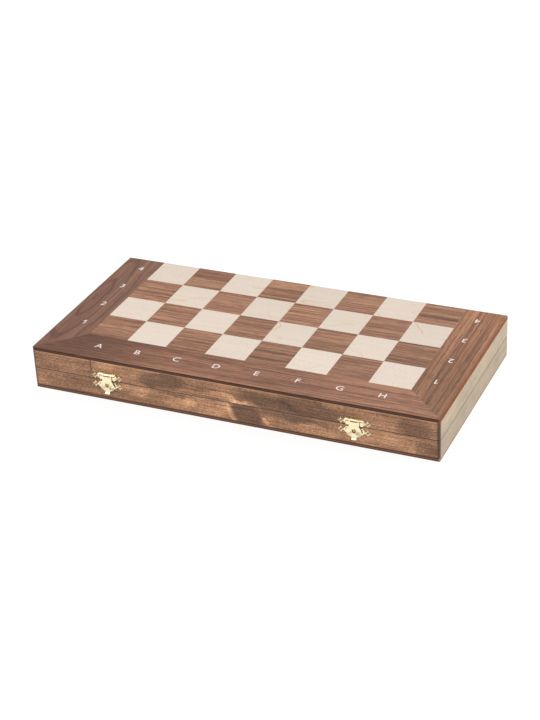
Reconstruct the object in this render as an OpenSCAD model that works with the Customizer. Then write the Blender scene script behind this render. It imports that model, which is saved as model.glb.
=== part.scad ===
// Folding wooden chess case with its chessmen. Closed, it is a flat box whose two outer faces are
// the two halves of the board. Rows 1 to 4 are on top and rows 5 to 8 underneath, and both halves
// are the same part, turned over. X runs along the files, +Y is the hinge side, +Z is up, and the
// origin is under the middle of the case.

/* [Board] */
// Side of one square
square_size = 48; // [48:1:60]
// Width of the veneer border round the squares
border_w = 48; // [46:1:60]
// Thickness of the face veneer
veneer_t = 0.6; // [0.4:0.1:1.5]
// Thickness of the board under the veneer
core_t = 3.6; // [2.4:0.2:5]

/* [Case] */
// Height of the closed case
case_h = 52; // [50:1:72]
// Thickness of the four walls of each half
wall_t = 9; // [7.5:0.5:10]
// Gap between the rims of the closed halves
seam_gap = 0.3; // [0.1:0.05:1]
// Rounding of the long edges of the case
edge_r = 1.8; // [0.5:0.1:2.2]
// Rounding of the two upright corners at the front
corner_r = 3.5; // [1:0.5:6]
// Chamfer on the outer edge of the rims
rim_chamfer = 0.5; // [0.2:0.1:1]

/* [Compartments] */
// Thickness of the felt on the floor of each half
felt_t = 1; // [0.5:0.1:2]
// Thickness of the rails and dividers
strip_t = 3; // [2:0.5:4]
// Gap between the rim and the top of the rails and dividers
strip_drop = 1.6; // [1:0.2:6]
// Gap that every lying chessman keeps from what is round it
piece_gap = 0.3; // [0.2:0.1:0.5]

/* [Hinges] */
// Distance of each hinge from the middle of the case
hinge_x = 150; // [60:5:180]
// Length of a hinge
hinge_len = 36; // [24:3:60]
// Wall left between a leaf's inner edge and the inside of the case
leaf_margin = 1.6; // [1:0.1:2.5]
// Thickness of a leaf
leaf_t = 1; // [0.8:0.1:1.2]
// Outer radius of the knuckles
knuckle_r = 2.2; // [1.8:0.1:2.6]
// Radius of the hinge pin
hinge_pin_r = 0.9; // [0.6:0.1:1.1]
// Distance of the pin's axis behind the back face, which leaves twice as much between the open halves
axis_offset = 0.2; // [0.1:0.05:0.5]
// Shank radius of a hinge screw
screw_r = 0.9; // [0.6:0.1:1.1]
// Length of a hinge screw
screw_len = 9; // [5:0.5:14]

/* [Clasps] */
// Distance of each clasp from the middle of the case
clasp_x = 146; // [40:1:190]
// Thickness of the clasp plates
plate_t = 0.6; // [0.4:0.1:0.8]
// Half the distance between the two nails of a plate
nail_x = 15; // [12:0.5:17]
// Height of the upper nails above the seam
upper_nail_z = 4.5; // [4:0.1:6]
// Depth of the lower nails below the seam
lower_nail_z = 6.1; // [5:0.1:8]
// Shank radius of a nail
nail_r = 0.6; // [0.4:0.05:0.8]
// Wall left behind the point of a nail
nail_margin = 2; // [1:0.5:4]
// Height of the hasp's pivot above the seam
pivot_z = 7.7; // [7:0.1:9]
// Distance of the hasp's pivot from the wall
pivot_out = 1.75; // [1.7:0.05:2.2]
// Outer radius of the hasp's knuckles
hasp_knuckle_r = 1.05; // [0.9:0.05:1.1]
// Radius of the hasp's pin
hasp_pin_r = 0.5; // [0.4:0.05:0.6]
// Half the width of the hasp's neck
neck_w = 5.6; // [4:0.2:7]
// Radius of the hole in the hasp
hasp_hole_r = 2.4; // [2:0.1:2.8]
// Radius of the round catch that stands in that hole
catch_r = 1.9; // [1.4:0.1:2]

/* [Chessmen] */
// Height of the king
king_h = 88; // [76:1:90]
// Radius of the king's base
king_r = 18; // [15:0.5:18.5]
// Height of the queen
queen_h = 78; // [66:1:82]
// Radius of the queen's base
queen_r = 17; // [14:0.5:18]
// Height of a bishop
bishop_h = 68; // [56:1:70]
// Radius of a bishop's base
bishop_r = 16; // [13:0.5:17]
// Height of a knight
knight_h = 60; // [50:1:64]
// Radius of a knight's base
knight_r = 16; // [13:0.5:17]
// Height of a rook
rook_h = 50; // [42:1:52]
// Radius of a rook's base
rook_r = 15.5; // [13:0.5:17]
// Height of a pawn
pawn_h = 46; // [38:1:47]
// Radius of a pawn's base
pawn_r = 14; // [12:0.5:16]
// Thickness of the felt disc under a base
base_felt_t = 0.8; // [0.4:0.1:1.2]

/* [Hidden] */
$fn = 48;
files = 8;
ranks_per_half = 4;
case_l = files * square_size + 2 * border_w;
case_w = ranks_per_half * square_size + border_w;
panel_t = veneer_t + core_t;
seam_z = case_h / 2;
rim_z = seam_z - seam_gap / 2;
axis_y = case_w / 2 + axis_offset;
leaf_w = wall_t + axis_offset - leaf_margin; // from the pin's axis to the leaf's inner edge
nail_len = wall_t - nail_margin;
grid_x = -files * square_size / 2;
grid_y = case_w / 2 - ranks_per_half * square_size;
inner_l = case_l - 2 * wall_t;
inner_w = case_w - 2 * wall_t;
floor_z = panel_t + felt_t;
bore_gap = 0.05; // running clearance round pins, nails and screws
cut = 20; // reach of a long cutter past the solid it cuts
over = 1; // reach of a short cutter past the solid it cuts

// Each compartment column is listed from the hinge side to the front, one letter a chessman.
COLUMNS = [["K", "B", "P"], ["Q", "B", "P"], ["N", "N", "P"], ["R", "R", "P", "P"], ["P", "P", "P"]];
column_count = 2 * len(COLUMNS);
column_w = (inner_l - (column_count - 1) * strip_t) / column_count;
strip_top = rim_z - strip_drop;

// Height and base radius of a chessman, by letter.
function man(t) =
    t == "K" ? [king_h, king_r] :
    t == "Q" ? [queen_h, queen_r] :
    t == "B" ? [bishop_h, bishop_r] :
    t == "N" ? [knight_h, knight_r] :
    t == "R" ? [rook_h, rook_r] :
    [pawn_h, pawn_r];
foot_z = 0.05; // height of the base's widest part, as a share of the chessman's height

// How far a lying man leans, so that its base and the widest thing above it rest on the floor.
function lean(t) = let (r = man(t)[1], foot = foot_z * man(t)[0])
    min([for (p = outline(t)) if (p.y > 2 * foot) atan2(r - p.x, p.y - foot)]);

// Length of a lying man, from the felt under its base to the furthest reach of its leaning head.
function man_len(t) = let (r = man(t)[1], foot = foot_z * man(t)[0], a = lean(t))
    base_felt_t + foot + max([for (p = outline(t)) (p.y - foot) * cos(a) + (r + p.x) * sin(a)]);

// Where a compartment starts, counted from the hinge-side wall, and the space left beside its man.
function total(list, n) = n <= 0 ? 0 : man_len(list[n - 1]) + total(list, n - 1);
function spare(list) = (inner_w - (len(list) - 1) * strip_t - total(list, len(list))) / len(list);
function bay_start(list, i) = total(list, i) + i * (spare(list) + strip_t);
function column_x(k) = -inner_l / 2 + column_w / 2 + k * (column_w + strip_t);

// Turns a piece of the lower half over into its place in the upper half.
module half_turn() translate([0, 0, case_h]) rotate([0, 180, 0]) children();

// ---- Form of one half: rounded outer edges, chamfered rim, sharp edges on the hinge side ----

// What a rounding of radius r takes off a corner at the origin.
module corner_waste(r) difference() {
    translate([-over, -over]) square(r + over);
    translate([r, r]) circle(r);
}

module edge_profile(width, both_ends) difference() {
    square([width, rim_z]);
    for (end = both_ends ? [0, 1] : [0])
        translate([end * width, 0]) mirror([end, 0]) {
            corner_waste(edge_r);
            polygon([
                [-over, rim_z - rim_chamfer - over], [-over, rim_z + over], [rim_chamfer + over, rim_z + over]
            ]);
        }
}

module plan_outline() difference() {
    translate([-case_l / 2, -case_w / 2]) square([case_l, case_w]);
    for (side = [0, 1])
        mirror([side, 0]) translate([-case_l / 2, -case_w / 2]) corner_waste(corner_r);
}

module half_form() intersection() {
    linear_extrude(rim_z) plan_outline();
    translate([-case_l / 2, case_w / 2, 0]) rotate([90, 0, 0])
        linear_extrude(case_w) edge_profile(case_l, true);
    translate([-case_l / 2, -case_w / 2, 0]) rotate([90, 0, 90])
        linear_extrude(case_l) edge_profile(case_w, false);
}

// ---- Board panel and veneers of the lower half ----

module core_panel() color("#4a3527") intersection() {
    half_form();
    translate([-case_l / 2, -case_w / 2, veneer_t]) cube([case_l, case_w, core_t]);
}

// The squares of one colour. Rank 0 is the row next to the front border.
module squares(parity)
    for (file = [0:files - 1], rank = [0:ranks_per_half - 1])
        if ((file + rank) % 2 == parity)
            translate([grid_x + file * square_size, grid_y + rank * square_size, 0])
                cube([square_size, square_size, veneer_t]);

module light_squares() color("#ead9c5") squares(0);
module dark_squares() color("#8a6149") squares(1);

module veneer(points) color("#7d5540") intersection() {
    half_form();
    linear_extrude(veneer_t) polygon(points);
}

module front_border() veneer([
    [-case_l / 2, -case_w / 2], [case_l / 2, -case_w / 2],
    [-grid_x, grid_y], [grid_x, grid_y]
]);

module side_border(side) veneer([
    [side * case_l / 2, -case_w / 2], [-side * grid_x, grid_y],
    [-side * grid_x, case_w / 2], [side * case_l / 2, case_w / 2]
]);

// ---- Walls of the lower half, mitred at the corners ----

module wall(points) color("#98694a") intersection() {
    half_form();
    translate([0, 0, panel_t]) linear_extrude(rim_z - panel_t) polygon(points);
}

module side_wall(side) wall([
    [side * case_l / 2, -case_w / 2], [side * inner_l / 2, -inner_w / 2],
    [side * inner_l / 2, inner_w / 2], [side * case_l / 2, case_w / 2]
]);

module front_wall(nail_z) difference() {
    wall([
        [-case_l / 2, -case_w / 2], [case_l / 2, -case_w / 2],
        [inner_l / 2, -inner_w / 2], [-inner_l / 2, -inner_w / 2]
    ]);
    for (x = [-clasp_x, clasp_x], side = [-1, 1])
        translate([x + side * nail_x, -case_w / 2 - over, seam_z - nail_z])
            rotate([-90, 0, 0]) cylinder(r = nail_r + bore_gap, h = nail_len + over + bore_gap);
}

mortise_clearance = 0.1; // round a leaf
barrel_clearance = 0.5; // round the knuckles, in the wall
knuckle_clearance = 0.3; // round the knuckles, in the other leaf

module back_wall() difference() {
    wall([
        [-case_l / 2, case_w / 2], [case_l / 2, case_w / 2],
        [inner_l / 2, inner_w / 2], [-inner_l / 2, inner_w / 2]
    ]);
    for (x = [-hinge_x, hinge_x]) {
        translate([x, axis_y - leaf_w, rim_z - leaf_t])
            translate([-hinge_len / 2 - mortise_clearance, -mortise_clearance, 0])
                cube([hinge_len + 2 * mortise_clearance, leaf_w + cut, leaf_t + over]);
        translate([x - hinge_len / 2 - barrel_clearance, axis_y, seam_z]) rotate([0, 90, 0])
            cylinder(r = knuckle_r + barrel_clearance, h = hinge_len + 2 * barrel_clearance);
        for (side = [-1, 1])
            translate([x + side * screw_x, screw_y, rim_z - screw_len - bore_gap])
                cylinder(r = screw_r + bore_gap, h = screw_len + over);
    }
}

// ---- Felt, rails, dividers and pads of the lower half ----

module felt_liner() color("#1f4a33")
    translate([-inner_l / 2, -inner_w / 2, panel_t]) cube([inner_l, inner_w, felt_t]);

module long_rails() color("#5d4030")
    for (k = [0:column_count - 2])
        translate([column_x(k) + column_w / 2, -inner_w / 2, floor_z])
            cube([strip_t, inner_w, strip_top - floor_z]);

module cross_dividers() color("#5d4030")
    for (c = [0:len(COLUMNS) - 1], i = [1:len(COLUMNS[c]) - 1])
        translate([column_x(2 * c) - column_w / 2, inner_w / 2 - bay_start(COLUMNS[c], i), floor_z])
            cube([column_w, strip_t, strip_top - floor_z]);

pad_share = 0.4; // length of a pad, as a share of its man's length
pad_side_gap = 1;

// A pad stands opposite each man of the other half and keeps it in its bay while the case is shut.
module pads() color("#1f4a33")
    for (c = [0:len(COLUMNS) - 1], i = [0:len(COLUMNS[c]) - 1]) {
        t = COLUMNS[c][i];
        man_top = floor_z + piece_gap + 2 * man(t)[1];
        pad_l = pad_share * man_len(t);
        translate([-column_x(2 * c) - column_w / 2 + pad_side_gap,
                   inner_w / 2 - bay_start(COLUMNS[c], i) - pad_l, floor_z])
            cube([column_w - 2 * pad_side_gap, pad_l, case_h - man_top - 2 * piece_gap - floor_z]);
    }

// ---- Hinges: the lower leaf has the two outer knuckles, the upper leaf the middle one ----

screw_inset = 6; // distance of a screw from the end of its leaf
screw_x = hinge_len / 2 - screw_inset;
screw_y = axis_y - 0.58 * leaf_w;
knuckle_gap = 0.2;
knuckle_len = (hinge_len - 2 * knuckle_gap) / 3;
head_r = 2 * screw_r;
slot_w = 0.4;
slot_depth = 0.35;

module hinge_leaf(outer) color("#c9a64b") difference() {
    union() {
        translate([-hinge_len / 2, axis_y - leaf_w, rim_z - leaf_t]) cube([hinge_len, leaf_w, leaf_t]);
        for (k = outer ? [-1, 1] : [0])
            translate([k * (knuckle_len + knuckle_gap) - knuckle_len / 2, axis_y, seam_z])
                rotate([0, 90, 0]) cylinder(r = knuckle_r, h = knuckle_len);
    }
    for (k = outer ? [0] : [-1, 1])
        translate([k * (knuckle_len + knuckle_gap) - knuckle_len / 2 - knuckle_gap, axis_y, seam_z])
            rotate([0, 90, 0])
                cylinder(r = knuckle_r + knuckle_clearance, h = knuckle_len + 2 * knuckle_gap);
    translate([-hinge_len, axis_y, seam_z]) rotate([0, 90, 0])
        cylinder(r = hinge_pin_r + bore_gap, h = 2 * hinge_len);
    for (side = [-1, 1]) translate([side * screw_x, screw_y, rim_z - screw_len])
        cylinder(r = screw_r + bore_gap, h = 2 * screw_len);
    for (side = [-1, 1]) translate([side * screw_x, screw_y, rim_z - screw_r])
        cylinder(r1 = screw_r + bore_gap, r2 = head_r + 2 * bore_gap, h = screw_r + bore_gap);
}

module hinge_screws() color("#b8923c")
    for (x = [-hinge_x, hinge_x], side = [-1, 1])
        translate([x + side * screw_x, screw_y, rim_z]) difference() {
            union() {
                translate([0, 0, -screw_len]) cylinder(r = screw_r, h = screw_len - screw_r);
                translate([0, 0, -screw_r]) cylinder(r1 = screw_r, r2 = head_r, h = screw_r);
            }
            translate([-cut / 2, -slot_w / 2, -slot_depth]) cube([cut, slot_w, slot_depth + over]);
        }

module hinge_pins() color("#b8923c")
    for (x = [-hinge_x, hinge_x])
        translate([x - hinge_len / 2, axis_y, seam_z]) rotate([0, 90, 0])
            cylinder(r = hinge_pin_r, h = hinge_len);

// ---- Clasps, drawn on the front wall: x across, y up from the seam, z out of the wall ----

star_r = 3.8; // tips of the pointed ends
star_waist = 1.9;
bead_r = 1.5; // between a pointed end and the plate
knuckle_x = 6; // inner end of the two knuckles on the upper plate
bar_x = 10.4; // outer end of those knuckles
end_gap = 0.15; // between the knuckles of the plate and those of the hasp
hasp_t = 0.8;
catch_z = -5.7;
tab_w = 5.2;
pierced_r = 0.55; // small holes through both plates
flute_r = 0.45;
flute_len = 7;
flute_depth = 0.2;
nail_head_r = 1.2;
nail_head_top_r = 0.7;
nail_head_t = 0.5;

module on_front(x) translate([x, -case_w / 2, seam_z]) rotate([90, 0, 0]) children();

module star(x, y) translate([x, y])
    polygon([for (i = [0:7]) (i % 2 == 0 ? star_r : star_waist) * [cos(45 * i), sin(45 * i)]]);

// A plate with a pointed end and a bead on each side, and its two nail holes.
module pointed_plate(half_outline, nail_y) linear_extrude(plate_t) difference() {
    first = half_outline[0];
    last = half_outline[len(half_outline) - 1];
    union() for (side = [0, 1]) mirror([side, 0]) {
        polygon(concat([[0, first.y]], half_outline, [[0, last.y]]));
        star(nail_x, nail_y);
        translate([nail_x - star_r, nail_y]) circle(bead_r);
    }
    for (side = [-1, 1]) translate([side * nail_x, nail_y]) circle(nail_r + bore_gap);
}

module clasp_upper_plate() color("#e6d9a4") difference() {
    union() {
        difference() {
            pointed_plate([
                [bar_x - 0.4, pivot_z + 1], [bar_x + 0.8, pivot_z - 1.3], [11.8, upper_nail_z],
                [10.6, 2.2], [9.2, 0.5], [neck_w, 0.5]
            ], upper_nail_z);
            // slot under the bar
            translate([-9.2, 4.9, -over]) cube([18.4, 1.5, plate_t + 2 * over]);
            for (side = [-1, 1])
                translate([side * 9.6, 3.4, -over]) cylinder(r = pierced_r, h = plate_t + 2 * over);
        }
        for (side = [0, 1]) mirror([side, 0, 0]) translate([knuckle_x + end_gap, 0, 0]) {
            translate([0, pivot_z, pivot_out]) rotate([0, 90, 0])
                cylinder(r = hasp_knuckle_r, h = bar_x - knuckle_x - end_gap);
            translate([0, pivot_z - 0.8, plate_t / 2])
                cube([bar_x - knuckle_x - end_gap, 1.6, pivot_out - plate_t / 2]);
        }
    }
    translate([-cut, pivot_z, pivot_out]) rotate([0, 90, 0])
        cylinder(r = hasp_pin_r + bore_gap, h = 2 * cut);
}

module clasp_lower_plate() color("#e6d9a4") {
    difference() {
        pointed_plate([
            [neck_w, -1.9], [9.4, -2.1], [11, -4], [11.8, -lower_nail_z],
            [10.6, -8.4], [8.8, -9.8], [4, -10.2]
        ], -lower_nail_z);
        for (side = [-1, 1])
            translate([side * 9, -3.9, -over]) cylinder(r = pierced_r, h = plate_t + 2 * over);
    }
    translate([0, catch_z, 0]) intersection() {
        translate([0, 0, plate_t]) sphere(catch_r);
        cylinder(r = catch_r + over, h = cut);
    }
}

module hasp() color("#efe3b4") difference() {
    union() {
        translate([-knuckle_x, pivot_z, pivot_out]) rotate([0, 90, 0])
            cylinder(r = hasp_knuckle_r, h = 2 * knuckle_x);
        translate([0, 0, pivot_out - hasp_t / 2]) linear_extrude(hasp_t) difference() {
            for (side = [0, 1]) mirror([side, 0]) polygon([
                [0, pivot_z], [neck_w, pivot_z], [neck_w, 0.6], [7.3, -3], [9, -6.9],
                [8.7, -8.3], [7.6, -8.9], [tab_w / 2, -13.3], [0, -13.3]
            ]);
            translate([0, catch_z]) circle(hasp_hole_r);
            translate([-4.4, 5.2]) square([8.8, 1.2]);
        }
        // finger tab, bent outwards
        translate([-tab_w / 2, 0, 0]) rotate([90, 0, 90]) linear_extrude(tab_w) polygon([
            [-13.2, pivot_out - hasp_t / 2], [-13.2, pivot_out + hasp_t / 2], [-13.9, 2.3],
            [-15.3, 3.9], [-15.9, 3.4], [-14.5, 1.5]
        ]);
    }
    translate([-cut, pivot_z, pivot_out]) rotate([0, 90, 0])
        cylinder(r = hasp_pin_r + bore_gap, h = 2 * cut);
    // flutes that fan out from the hole
    for (side = [-1, 1], k = [0:4])
        translate([0, catch_z, pivot_out + hasp_t / 2 + flute_r - flute_depth])
            rotate([0, 0, side * (38 + 11 * k)]) translate([0, -1.5 * hasp_hole_r, 0]) rotate([90, 0, 0])
                cylinder(r = flute_r, h = flute_len, $fn = 24);
}

module clasp_pins() color("#cdb66a") for (x = [-clasp_x, clasp_x]) on_front(x)
    translate([-bar_x, pivot_z, pivot_out]) rotate([0, 90, 0]) cylinder(r = hasp_pin_r, h = 2 * bar_x);

module clasp_nails(nail_y) color("#cdb66a") for (x = [-clasp_x, clasp_x], side = [-1, 1]) on_front(x)
    translate([side * nail_x, nail_y, 0]) {
        translate([0, 0, -nail_len]) cylinder(r = nail_r, h = nail_len + plate_t + nail_head_t / 2);
        translate([0, 0, plate_t]) cylinder(r1 = nail_head_r, r2 = nail_head_top_r, h = nail_head_t);
    }

// ---- Chessmen: standing on their base at the origin ----

// A curve from a to c, drawn towards b. The point a itself is left out.
function bend(a, b, c, n = 6) = [
    for (i = [1:n]) let (t = i / n) (1 - t) * (1 - t) * a + 2 * t * (1 - t) * b + t * t * c
];
function arc(cx, cz, r, from, to, n = 8) = [
    for (i = [0:n]) let (a = from + (to - from) * i / n) [cx + r * cos(a), cz + r * sin(a)]
];

// The turned base that all the men share, up to a stem of radius s at height z.
function turned_base(r, h, s, z) = concat(
    [[0, 0], [0.95 * r, 0]], arc(0.955 * r, foot_z * h, 0.045 * r, -60, 60, 4),
    [[0.9 * r, 0.085 * h]], arc(0.8 * r, 0.118 * h, 0.1 * r, -45, 75, 5),
    [[0.72 * r, 0.15 * h]],
    bend([0.72 * r, 0.15 * h], [1.15 * s, 0.2 * h], [s, z], 8)
);
function collar(r, z, t) = arc(r - t / 2, z, t / 2, -80, 80, 6);

// Turned outlines: radius and height of each point, from the middle of the base upwards.
function pawn_outline(r = pawn_r, h = pawn_h) = concat(
    turned_base(r, h, 0.36 * r, 0.56 * h),
    collar(0.62 * r, 0.6 * h, 0.05 * h), [[0.38 * r, 0.64 * h]],
    arc(0, h - 0.58 * r, 0.58 * r, -50, 90, 12)
);

function rook_outline(r = rook_r, h = rook_h) = concat(
    turned_base(r, h, 0.5 * r, 0.6 * h),
    collar(0.68 * r, 0.64 * h, 0.05 * h), [[0.55 * r, 0.68 * h]],
    bend([0.55 * r, 0.68 * h], [0.56 * r, 0.78 * h], [0.7 * r, 0.8 * h], 4),
    [[0.7 * r, h], [0.46 * r, h], [0.46 * r, 0.88 * h], [0, 0.86 * h]]
);

function bishop_outline(r = bishop_r, h = bishop_h) = concat(
    turned_base(r, h, 0.34 * r, 0.56 * h),
    collar(0.62 * r, 0.59 * h, 0.035 * h), [[0.4 * r, 0.615 * h]],
    collar(0.5 * r, 0.635 * h, 0.02 * h), [[0.36 * r, 0.65 * h]],
    bend([0.36 * r, 0.65 * h], [0.62 * r, 0.72 * h], [0.5 * r, 0.8 * h], 5),
    bend([0.5 * r, 0.8 * h], [0.4 * r, 0.88 * h], [0.12 * r, 0.93 * h], 5),
    arc(0, 0.965 * h, 0.035 * h, -60, 90, 8)
);

function queen_outline(r = queen_r, h = queen_h) = concat(
    turned_base(r, h, 0.33 * r, 0.6 * h),
    collar(0.66 * r, 0.625 * h, 0.03 * h), [[0.45 * r, 0.645 * h]],
    collar(0.54 * r, 0.662 * h, 0.02 * h), [[0.36 * r, 0.68 * h]],
    bend([0.36 * r, 0.68 * h], [0.36 * r, 0.8 * h], [0.6 * r, 0.9 * h], 6),
    [[0.57 * r, 0.925 * h], [0.42 * r, 0.905 * h]],
    bend([0.42 * r, 0.905 * h], [0.3 * r, 0.945 * h], [0.1 * r, 0.95 * h], 4),
    arc(0, 0.973 * h, 0.027 * h, -60, 90, 8)
);

function king_outline(r = king_r, h = king_h) = concat(
    turned_base(r, h, 0.33 * r, 0.6 * h),
    collar(0.66 * r, 0.622 * h, 0.026 * h), [[0.46 * r, 0.638 * h]],
    collar(0.56 * r, 0.652 * h, 0.018 * h), [[0.38 * r, 0.668 * h]],
    bend([0.38 * r, 0.668 * h], [0.38 * r, 0.76 * h], [0.56 * r, 0.83 * h], 6),
    [[0.53 * r, 0.845 * h]],
    bend([0.53 * r, 0.845 * h], [0.4 * r, 0.885 * h], [0.12 * r, 0.89 * h], 5),
    [[0.1 * r, 0.905 * h], [0, 0.905 * h]]
);

function knight_base_outline(r = knight_r, h = knight_h) = concat(
    turned_base(r, h, 0.7 * r, 0.24 * h),
    collar(0.8 * r, 0.27 * h, 0.04 * h), [[0.62 * r, 0.3 * h], [0, 0.3 * h]]
);

king_arm = 0.05 * king_h; // from the middle of the cross to the end of an arm

// Half of the horse's front outline, as shares of the base radius and the height.
HORSE_FRONT = [
    [0, 0.29], [0.56, 0.29], [0.5, 0.42], [0.42, 0.55], [0.4, 0.7], [0.34, 0.82],
    [0.24, 0.9], [0.22, 1], [0.08, 0.96], [0, 0.93]
];

function outline(t) =
    t == "K" ? concat(king_outline(), [[0.62 * king_arm, king_h]]) :
    t == "Q" ? queen_outline() :
    t == "B" ? bishop_outline() :
    t == "N" ? concat(knight_base_outline(), [for (p = HORSE_FRONT) [knight_r * p.x, knight_h * p.y]]) :
    t == "R" ? rook_outline() :
    pawn_outline();

module turned(points) rotate_extrude() polygon(points);

module pawn() turned(pawn_outline());

// The battlements are cut by three slots through the middle.
module rook() difference() {
    turned(rook_outline());
    for (a = [0:60:120]) rotate([0, 0, a])
        translate([-rook_r, -0.08 * rook_r, 0.91 * rook_h]) cube([2 * rook_r, 0.16 * rook_r, rook_h]);
}

module bishop() difference() {
    turned(bishop_outline());
    translate([0.1 * bishop_r, 0, 0.9 * bishop_h]) rotate([0, -38, 0])
        translate([-bishop_r, -bishop_r, -0.02 * bishop_r]) cube([bishop_r, 2 * bishop_r, 0.09 * bishop_r]);
}

// Eight scallops make the coronet.
module queen() difference() {
    turned(queen_outline());
    for (i = [0:7]) rotate([0, 0, 45 * i]) translate([0.62 * queen_r, 0, 0.945 * queen_h])
        rotate([0, 70, 0]) cylinder(r = 0.13 * queen_r, h = 0.6 * queen_r, center = true, $fn = 20);
}

// The cross has flared arms.
module king() {
    arm = king_arm;
    turned(king_outline());
    translate([0, 0, king_h - arm]) rotate([90, 0, 0]) linear_extrude(0.14 * king_r, center = true)
        for (a = [0:90:270]) rotate([0, 0, a])
            polygon([[-0.3 * arm, 0], [-0.62 * arm, arm], [0.62 * arm, arm], [0.3 * arm, 0]]);
}

// The horse is its side outline, narrowed by its front outline.
module knight() {
    r = knight_r;
    h = knight_h;
    turned(knight_base_outline());
    intersection() {
        rotate([90, 0, 0]) linear_extrude(2 * r, center = true) scale([r, h]) polygon([
            [-0.55, 0.29], [-0.66, 0.42], [-0.64, 0.58], [-0.5, 0.75], [-0.24, 0.9], [-0.12, 0.93],
            [-0.06, 1], [0.04, 0.94], [0.2, 0.9], [0.5, 0.81], [0.78, 0.7], [0.84, 0.64], [0.8, 0.6],
            [0.66, 0.58], [0.56, 0.61], [0.38, 0.62], [0.14, 0.63], [0.1, 0.6], [0.2, 0.54],
            [0.42, 0.46], [0.54, 0.36], [0.54, 0.29]
        ]);
        rotate([90, 0, 90]) linear_extrude(2 * r, center = true) scale([r, h])
            for (side = [0, 1]) mirror([side, 0]) polygon(HORSE_FRONT);
    }
}

module base_felt(t) translate([0, 0, -base_felt_t]) cylinder(r = 0.9 * man(t)[1], h = base_felt_t);

// Lays a man on its side on the felt: the rim of its base and its head both rest on the floor.
module lying(t) {
    foot = foot_z * man(t)[0];
    translate([0, foot, 0]) rotate([-lean(t), 0, 0]) translate([0, -foot, man(t)[1]])
        rotate([-90, 0, 0]) children();
}

// Every man of one letter in its bay of the lower half, with its base towards the hinge side.
module in_bays(t) for (c = [0:len(COLUMNS) - 1], i = [0:len(COLUMNS[c]) - 1])
    if (COLUMNS[c][i] == t)
        translate([column_x(2 * c), inner_w / 2 - bay_start(COLUMNS[c], i) - base_felt_t - 3 * piece_gap,
                   floor_z + piece_gap])
            mirror([0, 1, 0]) lying(t) children();

module all_base_felts() color("#1f4a33") for (t = ["K", "Q", "B", "N", "R", "P"]) in_bays(t) base_felt(t);

white = "#dcb988";
black = "#5b3a26";

core_panel();  // lower_core_panel
light_squares();  // lower_light_squares
dark_squares();  // lower_dark_squares
front_border();  // lower_front_border
side_border(-1);  // lower_left_border
side_border(1);  // lower_right_border
front_wall(lower_nail_z);  // lower_front_wall
back_wall();  // lower_back_wall
side_wall(-1);  // lower_left_wall
side_wall(1);  // lower_right_wall
felt_liner();  // lower_felt_liner
long_rails();  // lower_long_rails
cross_dividers();  // lower_cross_dividers
pads();  // lower_pads
translate([-hinge_x, 0, 0]) hinge_leaf(true);  // left_hinge_lower_leaf
translate([hinge_x, 0, 0]) hinge_leaf(true);  // right_hinge_lower_leaf
hinge_pins();
hinge_screws();  // lower_hinge_screws
on_front(-clasp_x) clasp_lower_plate();  // left_clasp_lower_plate
on_front(clasp_x) clasp_lower_plate();  // right_clasp_lower_plate
clasp_nails(-lower_nail_z);  // lower_clasp_nails
color(white) in_bays("K") king();  // white_king
color(white) in_bays("Q") queen();  // white_queen
color(white) in_bays("B") bishop();  // white_bishops
color(white) in_bays("N") knight();  // white_knights
color(white) in_bays("R") rook();  // white_rooks
color(white) in_bays("P") pawn();  // white_pawns
all_base_felts();  // white_base_felts

// ---- Nodes of the upper half ----
half_turn() core_panel();  // upper_core_panel
half_turn() light_squares();  // upper_light_squares
half_turn() dark_squares();  // upper_dark_squares
half_turn() front_border();  // upper_front_border
half_turn() side_border(1);  // upper_left_border
half_turn() side_border(-1);  // upper_right_border
half_turn() front_wall(upper_nail_z);  // upper_front_wall
half_turn() back_wall();  // upper_back_wall
half_turn() side_wall(1);  // upper_left_wall
half_turn() side_wall(-1);  // upper_right_wall
half_turn() felt_liner();  // upper_felt_liner
half_turn() long_rails();  // upper_long_rails
half_turn() cross_dividers();  // upper_cross_dividers
half_turn() pads();  // upper_pads
half_turn() translate([hinge_x, 0, 0]) hinge_leaf(false);  // left_hinge_upper_leaf
half_turn() translate([-hinge_x, 0, 0]) hinge_leaf(false);  // right_hinge_upper_leaf
half_turn() hinge_screws();  // upper_hinge_screws
on_front(-clasp_x) clasp_upper_plate();  // left_clasp_upper_plate
on_front(clasp_x) clasp_upper_plate();  // right_clasp_upper_plate
clasp_pins();
clasp_nails(upper_nail_z);  // upper_clasp_nails
on_front(-clasp_x) hasp();  // left_hasp
on_front(clasp_x) hasp();  // right_hasp
color(black) half_turn() in_bays("K") king();  // black_king
color(black) half_turn() in_bays("Q") queen();  // black_queen
color(black) half_turn() in_bays("B") bishop();  // black_bishops
color(black) half_turn() in_bays("N") knight();  // black_knights
color(black) half_turn() in_bays("R") rook();  // black_rooks
color(black) half_turn() in_bays("P") pawn();  // black_pawns
half_turn() all_base_felts();  // black_base_felts
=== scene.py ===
"""The looks of the folding chess case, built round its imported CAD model. Sizes are in metres."""
import math

import bmesh
import bpy
import numpy as np
from mathutils import Matrix, Vector, noise


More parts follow.
